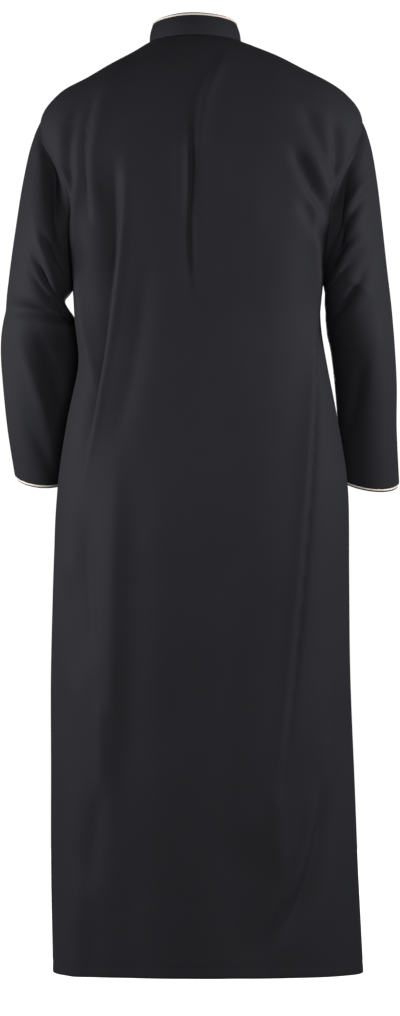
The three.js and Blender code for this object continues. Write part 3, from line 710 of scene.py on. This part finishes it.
# %% Folds of the sleeves
# Columns: the place round the arm in degrees, 0 outermost and 90 at the back; the place along it in
# rings; how far the fold reaches each way, round and along; how far one end drops; and its height.
SLEEVE_FOLDS = {
    "left": [
        (70, 0.9, 34, 0.8, 0.5, -22),  # the hollow behind the armpit
        (112, 1.5, 30, 1.1, 0.0, -9),
        (28, 0.9, 16, 0.6, 0.4, 4),
        (104, 2.9, 26, 0.3, -0.4, -8),  # short ones above the elbow
        (96, 3.5, 34, 0.35, 0.3, 5),
        (100, 4.4, 26, 0.24, 0.2, -9),
        (96, 5.0, 30, 0.2, 0.3, -8),
        (96, 4.9, 24, 0.2, 0.4, 3.5),
        (96, 5.45, 46, 0.24, -0.1, 6),
        (98, 5.9, 60, 0.2, -0.1, -14),  # the crease of the elbow
        (100, 6.45, 50, 0.45, 0.0, 5),
        (128, 7.1, 30, 0.5, 0.5, -5),
        (86, 8.0, 26, 0.5, 1.0, 7),  # slanting down the forearm
        (110, 7.6, 24, 0.5, 0.8, -8),
        (90, 9.2, 30, 0.3, 0.6, -3),
        (250, 5.2, 50, 0.34, 0.3, -7),  # in front, inside the elbow
        (240, 5.8, 52, 0.32, -0.3, 6),
        (262, 6.4, 50, 0.32, 0.3, -8),
        (244, 7.0, 46, 0.32, -0.4, 6),
        (256, 7.6, 44, 0.36, 0.3, -5),
        (292, 2.0, 30, 1.2, 0.0, -9),
    ],
    "right": [
        (80, 0.9, 30, 0.7, 0.5, -13),  # the hollow behind the armpit
        (116, 0.9, 26, 0.45, -0.2, -9),
        (84, 1.7, 34, 0.3, -0.5, 6),
        (78, 2.3, 36, 0.3, -0.5, -6),
        (118, 1.6, 28, 1.1, 0.0, -11),
        (28, 0.9, 16, 0.6, 0.4, 3),
        (100, 2.9, 24, 0.3, -0.7, -8),  # short ones above the elbow
        (88, 3.4, 28, 0.3, -0.6, 6),
        (106, 3.9, 30, 0.3, -0.4, -7),
        (104, 5.15, 30, 0.24, 0.4, -9),
        (90, 4.9, 18, 0.2, -0.5, 3),
        (98, 5.7, 36, 0.4, 0.2, 6),
        (108, 8.0, 26, 0.5, 0.7, -7),  # down the forearm
        (84, 7.3, 30, 0.6, 0.5, 5),
        (246, 5.4, 48, 0.36, 0.3, -6),  # in front, inside the elbow
        (238, 6.1, 50, 0.34, -0.3, 5),
        (256, 6.8, 46, 0.36, 0.3, -6),
        (292, 2.0, 30, 1.2, 0.0, -9),
    ],
}
print("folds on the sleeves:", len(SLEEVE_FOLDS["left"]), len(SLEEVE_FOLDS["right"]))


# %% A sleeve's surface
ARMHOLE_REACH = 3  # rings down to where the armhole's shape is gone
FOLD_START = 0.5  # rings down to where the folds have their full height
FOLD_ROUNDNESS = 1.8  # along the arm, where 2 is round and 1 is sharp
ARM_RADIUS, RING_STEP = 55, 60  # turns and rings as millimetres, for the waviness


def plain_sleeve(side, turn, place):
    """Tilted ellipses: x and z go from the outermost to the innermost point as cos, y and the drop
    as sin."""
    at = {name: between(column, place) for name, column in SLEEVES[side].items()}
    mirror = 1 if side == "left" else -1
    c, s = np.cos(turn), np.sin(turn)
    return stacked(
        mirror * (at["out_x"] + at["in_x"] + (at["out_x"] - at["in_x"]) * c) / 2,
        at["mid_y"] + at["deep"] * s,
        (at["out_z"] + at["in_z"] + (at["out_z"] - at["in_z"]) * c) / 2 - at["drop"] * s,
    )


def sleeve_surface(side, turn, place):
    """The sleeve's outside. Its first ring is the armhole's edge, and that shape fades over
    ARMHOLE_REACH rings. Each fold adds lift exp(-across^2 - |down|^FOLD_ROUNDNESS)."""
    fade = 1 - smooth_step(place / ARMHOLE_REACH)
    start = armhole_edge(side, turn) - plain_sleeve(side, turn, np.zeros_like(place))
    base = plain_sleeve(side, turn, place) + start * fade[..., None]
    out = ways_out(base, -1 if side == "left" else 1, wraps=True)
    height = waviness(turn * ARM_RADIUS, place * RING_STEP, side)
    for fold_turn, along, turn_reach, along_reach, slant, lift in SLEEVE_FOLDS[side]:
        around = turn - math.radians(fold_turn)
        across = np.arctan2(np.sin(around), np.cos(around)) / math.radians(turn_reach)
        down = (place - along - slant * across) / along_reach
        height += lift * np.exp(-(across**2) - abs(down) ** FOLD_ROUNDNESS)
    height = height * smooth_step(place / FOLD_START) + groove(run_of(base, 0) / MM)
    return base + out * height[..., None], out


# %% Sleeves
SLEEVE_ROWS, SLEEVE_TURNS = 170, 112
RING_RUN = [0, 0.04, 0.1, 0.19, 0.29, 0.4, 0.51, 0.61, 0.71, 0.86, 1]  # share of the way down

sleeve_turns = np.arange(SLEEVE_TURNS) * 2 * np.pi / SLEEVE_TURNS
even = np.linspace(0, 1, len(RING_RUN))
even_rings = np.interp(even, RING_RUN, np.arange(len(RING_RUN)))
sleeve_places = np.interp(with_fine_ends(SLEEVE_ROWS, COLUMN_EDGE), even, even_rings)
turn, place = np.meshgrid(sleeve_turns, sleeve_places)
sleeves = {side: sleeve_surface(side, turn, place) for side in ("left", "right")}
for side, (grid, out) in sleeves.items():
    name, lipped = "sleeve_" + side, sewn_lips(grid, out)[0]
    twill_sheet(name, lipped, CLOTH_THICKNESS, wraps=True, turned=side == "left")

# %% [markdown]
# ## Piping and facings
#
# Piping is a cord wrapped in satin and caught in a seam, so it runs along the very edge of a piece.
# A tube is swept along that edge. Behind it lies another layer, the facing of the cuff or the
# inside of the collar, whose edge stands a little past the piping and shows as a thin dark line.

# %% Piping
PIPING_RADIUS = 1.5
PIPING_OFF = 0.5  # clear of the edge, where a dark line shows between the two
PIPING_SUNK = 0.4  # how far its middle lies under the outside of the cloth
PIPING_SIDES = 12


def edge_frames(grid, out):
    """Along a grid's last row: its points, the ways out, and the ways on past the edge."""
    return grid[-1], out[-1], unit(grid[-1] - grid[-3])


def tube_along(path, out, on, closed):
    """A round tube: at each point of the path, the radius times (cos of a turn outwards plus its
    sine onwards)."""
    turn = np.arange(PIPING_SIDES) * 2 * np.pi / PIPING_SIDES
    ring = out[:, None] * np.cos(turn)[:, None] + on[:, None] * np.sin(turn)[:, None]
    grid = path[:, None] + PIPING_RADIUS * ring
    return np.concatenate([grid, grid[:1]]) if closed else grid


def piping(name, grid, out, closed, turned):
    """Satin piping on a grid's last row."""
    edge, ways, on = edge_frames(grid, out)
    path = edge + on * (PIPING_RADIUS + PIPING_OFF) - ways * PIPING_SUNK
    tube = tube_along(path, ways, on, closed)
    print(name, "is", run_of(path[:, None], 0)[-1, 0].round(2), "m long")
    mesh = mesh_from_grid(name, tube, wraps=True, turned=turned)
    return piece(name, mesh, satin.material)


# %% Layers behind an edge
BAND_THICKNESS = 0.9
FACING_SHOWS = 1.9  # how far the layer behind stands past the piping
BAND_STEPS = (0.3, 0.6, 0.85, 1.0)  # rows on the way there


def band_behind(grid, out, rows, sunk):
    """The grid's last rows, sunk below it, with more rows that run on past the piping."""
    edge, ways, on = edge_frames(grid, out)
    past = 2 * PIPING_RADIUS + PIPING_OFF + FACING_SHOWS
    inner = grid[-rows:] - out[-rows:] * sunk
    ends = [edge - ways * sunk + on * past * share for share in BAND_STEPS]
    return np.concatenate([inner, np.stack(ends)])


# %% Cuffs
FACING_ROWS = 20
FACING_GAP = 0.6  # between the sleeve and its facing

for side, (grid, out) in sleeves.items():
    name = "cuff_piping_" + side
    piping(name, grid, out, closed=True, turned=side == "left")
    name = "cuff_facing_" + side
    band = band_behind(grid, out, FACING_ROWS, CLOTH_THICKNESS + FACING_GAP)
    twill_sheet(name, band, BAND_THICKNESS, wraps=True, turned=side == "left")

# %% [markdown]
# ## Collar
#
# The stand collar is two layers of cloth, stiffened between them, that meet edge to edge at the
# throat. It leans in as it rises, because a neck is narrower than the opening that the shoulders
# give.

# %% Collar
COLLAR_OPENING = 2.5  # half the gap at the throat
COLLAR_TOP = 2  # the last ring of its table
COLLAR_ROWS, COLLAR_COLUMNS = 26, 200
COLLAR_EDGE = 0.02  # the finest step at its edges, as a share of its height
COLLAR_BELLY = 0.6  # how far its middle stands out
COLLAR_WAVE, COLLAR_WAVES = 0.35, 5  # how uneven its top is, and how often that comes round
COLLAR_GAP = 0.7  # between its two layers


def collar_grid():
    """The collar's outside, from one end over the back to the other: its rings, moved out by the
    sine of pi up, and by a slow wave that grows with up, the share of the way to the top."""
    opening = COLLAR_OPENING / COLLAR["half_width"][0]
    turns = np.linspace(-np.pi / 2 + opening, 1.5 * np.pi - opening, COLLAR_COLUMNS)
    turn, up = np.meshgrid(turns, with_fine_ends(COLLAR_ROWS, COLLAR_EDGE))
    over_back = ring_point(COLLAR, turn, up * COLLAR_TOP, "back")
    over_front = ring_point(COLLAR, turn, up * COLLAR_TOP, "front")
    grid = np.where((np.sin(turn) > 0)[..., None], over_back, over_front)
    out = ways_out(grid, 1)
    wave = COLLAR_WAVE * np.sin(turn * COLLAR_WAVES + 1) * up
    height = COLLAR_BELLY * np.sin(np.pi * up) + wave + groove(run_of(grid, 0) / MM)
    return grid + out * height[..., None], out


grid, out = collar_grid()
lipped = sewn_lips(grid, out)[0]
twill_sheet("collar_outer", lipped, BAND_THICKNESS, turned=True)
piping("collar_piping", grid, out, closed=False, turned=True)
lining = band_behind(grid, out, COLLAR_ROWS, BAND_THICKNESS + COLLAR_GAP)
twill_sheet("collar_inner", lining, BAND_THICKNESS, turned=True)

# %% [markdown]
# ## Placket and buttons
#
# The neck slit is closed by two bands, one over the front and one under it. Both are the front's
# own surface again, moved out or in by a millimetre or two, so that they follow the chest exactly.
# The buttons are small turned forms, and each stands on the upper band along the cloth's own way
# out.

# %% Placket
PLACKET_WIDTH, PLACKET_TOP_X, PLACKET_FOOT_X = 32, 7, -1
PLACKET_FOOT = 22 / 3  # how far down the body's rings it ends
PLACKET_ROWS, PLACKET_COLUMNS = 90, 18
UPPER_LIFT = BAND_THICKNESS + 0.5  # the upper band's outside, above the front's
UNDER_LIFT = -CLOTH_THICKNESS - 0.8  # the under band's, below it


def placket_line(place):
    """How far the placket's middle lies from the middle of the front's ring."""
    along = np.clip(place / PLACKET_FOOT, 0, 1)
    middle = PLACKET_TOP_X + (PLACKET_FOOT_X - PLACKET_TOP_X) * along
    return middle - between(BODY["shift"], place)


def front_turn(x, place):
    """The turn at which the front's ring lies a distance x from the placket's middle: the arc
    cosine of the whole distance over the ring's half width."""
    return np.arccos((x + placket_line(place)) / between(BODY["half_width"], place))


def placket_grid():
    """The front's surface under the placket, with the front's folds and waviness."""
    across = np.linspace(PLACKET_WIDTH / 2, -PLACKET_WIDTH / 2, PLACKET_COLUMNS)
    x, place = np.meshgrid(across, np.linspace(0, PLACKET_FOOT, PLACKET_ROWS))
    base = ring_point(BODY, -front_turn(x, place), place, "front")
    x, z = base[..., 0], base[..., 2]
    height = fold_height(FOLDS["front"], x, z) + waviness(x, z, "front")
    out = ways_out(base, 1)
    return base + out * (height * smooth_step(place))[..., None], out


base, out = placket_grid()
for name, lift in (("placket_upper", UPPER_LIFT), ("placket_under", UNDER_LIFT)):
    twill_sheet(name, base + out * lift, BAND_THICKNESS)

# %% Buttons
BUTTON_PLACES = (0.5, 3, 5.25, 6.75)  # counted in the body's rings
BUTTON_SIDES = 32
BUTTON_PROFILE = np.array(  # radius and height: flat below, a rim, and a dished middle
    [
        (0.01, 0),
        (4.4, 0),
        (5.2, 0.3),
        (5.6, 1.1),
        (5.5, 1.9),
        (5.1, 2.35),
        (4.5, 2.3),
        (3.7, 1.8),
        (2.4, 1.5),
        (0.01, 1.45),
    ]
)


def button_grid(middle, out):
    """The profile turned about the way out: the radius times (cos sideways + sin up), and the
    height outwards."""
    turn = np.arange(BUTTON_SIDES) * 2 * np.pi / BUTTON_SIDES
    side = unit(np.cross(out, (0, 0, 1.0)))
    up = np.cross(side, out)
    ring = np.cos(turn)[:, None] * side + np.sin(turn)[:, None] * up
    return middle + BUTTON_PROFILE[:, :1, None] * ring + BUTTON_PROFILE[:, 1:, None] * out


for k, button_place in enumerate(BUTTON_PLACES, start=1):
    row = int(round(button_place / PLACKET_FOOT * (PLACKET_ROWS - 1)))
    foot, way = base[row, PLACKET_COLUMNS // 2], out[row, PLACKET_COLUMNS // 2]
    name, grid = f"button_{k}", button_grid(foot + way * UPPER_LIFT, way)
    mesh = mesh_from_grid(name, grid, wraps=True)
    piece(name, mesh, button_finish.material)
    print(name, "is sewn on at a height of", foot[2].round(), "mm")

# %% [markdown]
# ## What each sheet was cut to
#
# Cloth hardly stretches, so the flat cut of a piece says how large it can be when it hangs. The
# table below lists, for each sheet, the size of the rectangle it is cut from and, where its outline
# isn't a rectangle, its area.

# %% Cuts
CUTS = {  # width and length of the rectangle in metres, and the cut's own area
    "back": (0.62, 1.50, 0.80),
    "front": (0.63, 1.49, 0.81),
    "sleeve_left": (0.48, 0.60, 0.170),
    "sleeve_right": (0.48, 0.60, 0.170),
    "cuff_facing_left": (0.30, 0.062, None),
    "cuff_facing_right": (0.30, 0.062, None),
    "collar_outer": (0.43, 0.032, None),
    "collar_inner": (0.43, 0.032, None),
    "placket_upper": (0.033, 0.315, None),
    "placket_under": (0.033, 0.315, None),
}
for name, (width, length, area) in CUTS.items():
    hung_from = "collar_outer" if name in ("back", "front") else "front"

# %% [markdown]
# ## Floor, light and camera
#
# Black cloth shows its form only by what it reflects, so the light is soft and comes from few
# places: a softbox at each side, one behind the wearer that lights the back, and one for the front.
# The surround and the floor are pale for the camera but light the cloth only a little, because
# light from everywhere would wash the folds out. The camera looks level at the middle of the back
# from five and a half metres, which keeps the hem nearly straight.

# %% Floor
FLOOR_Z = -1.46
FLOOR_HALF = 40.0  # so wide that its edge shows in no view
FLOOR_GREY = (0.22, 0.22, 0.22, 1)  # what it throws back at the cloth

floor_finish = Finish(
    "pale_floor",
    {
        "Base Color": FLOOR_GREY,
        "Roughness": 0.9,
        "Specular IOR Level": 0.1,
        "Emission Strength": 1.0,
    },
)
floor_finish.feed("Emission Color", floor_finish.node("ShaderNodeLightPath", {}, {}))
edge = np.array([-FLOOR_HALF, FLOOR_HALF]) / MM
x, y = np.meshgrid(edge, edge)
floor_mesh = mesh_from_grid("floor", stacked(x, y, np.full_like(x, FLOOR_Z / MM)))
floor = bpy.data.objects.new("floor", floor_mesh)
bpy.context.collection.objects.link(floor)
floor.data.materials.append(floor_finish.material)
print("floor at", FLOOR_Z, "m")

# %% Surround
SURROUND_LIGHT, SURROUND_SEEN = 0.11, 1.05  # its strength on the cloth, and for the camera

world = bpy.data.worlds.new("surround")
bpy.context.scene.world = world
world.use_nodes = True
links, nodes = world.node_tree.links, world.node_tree.nodes
background = next(n for n in nodes if n.type == "BACKGROUND")
background.inputs["Color"].default_value = (1, 1, 1, 1)
strength = nodes.new("ShaderNodeMapRange")
strength.inputs["To Min"].default_value = SURROUND_LIGHT
strength.inputs["To Max"].default_value = SURROUND_SEEN
to_camera = nodes.new("ShaderNodeLightPath").outputs["Is Camera Ray"]
links.new(to_camera, strength.inputs["Value"])
links.new(strength.outputs["Result"], background.inputs["Strength"])
bpy.context.scene.view_settings.view_transform = "Standard"
print("surround:", SURROUND_LIGHT, "on the cloth,", SURROUND_SEEN, "for the camera")

# %% Softboxes
SOFTBOXES = {  # place in metres, width, height, watts
    "side_left": ((1.4, 0.3, -0.4), 0.6, 0.6, 27),
    "side_right": ((-1.4, 0.4, -0.2), 0.6, 0.6, 23),
    "back": ((-0.3, 2.2, -0.2), 1.0, 0.8, 26),
    "front": ((0.0, -2.7, -0.6), 0.7, 1.6, 46),
}
AIM = Vector((0, 0, -0.5))  # where all of them point

for name, (spot, width, height, watts) in SOFTBOXES.items():
    lamp = bpy.data.lights.new(name, "AREA")
    lamp.shape, lamp.size, lamp.size_y, lamp.energy = "RECTANGLE", width, height, watts
    holder = bpy.data.objects.new(name, lamp)
    bpy.context.collection.objects.link(holder)
    holder.location = spot
    holder.rotation_euler = (AIM - Vector(spot)).to_track_quat("-Z", "Y").to_euler()
print("softboxes, watts:", {name: box[-1] for name, box in SOFTBOXES.items()})

# %% Camera
CAMERA_DISTANCE, CAMERA_HEIGHT = 5.5, -0.699
FRAME_ROWS, ROW_SIZE = 1016, 1.506  # rows of the frame, and what each spans on the garment
SENSOR = 36.0
FARTHEST = 200  # metres, well past the floor's edge

camera = bpy.data.cameras.new("camera")
camera.sensor_width = SENSOR
camera.lens = SENSOR * CAMERA_DISTANCE / (FRAME_ROWS * ROW_SIZE * MM)
camera.clip_end = FARTHEST
viewer = bpy.data.objects.new("camera", camera)
bpy.context.collection.objects.link(viewer)
viewer.location = (0, CAMERA_DISTANCE, CAMERA_HEIGHT)
viewer.rotation_euler = (math.pi / 2, 0, math.pi)
bpy.context.scene.camera = viewer
print("lens, mm:", round(camera.lens, 1))
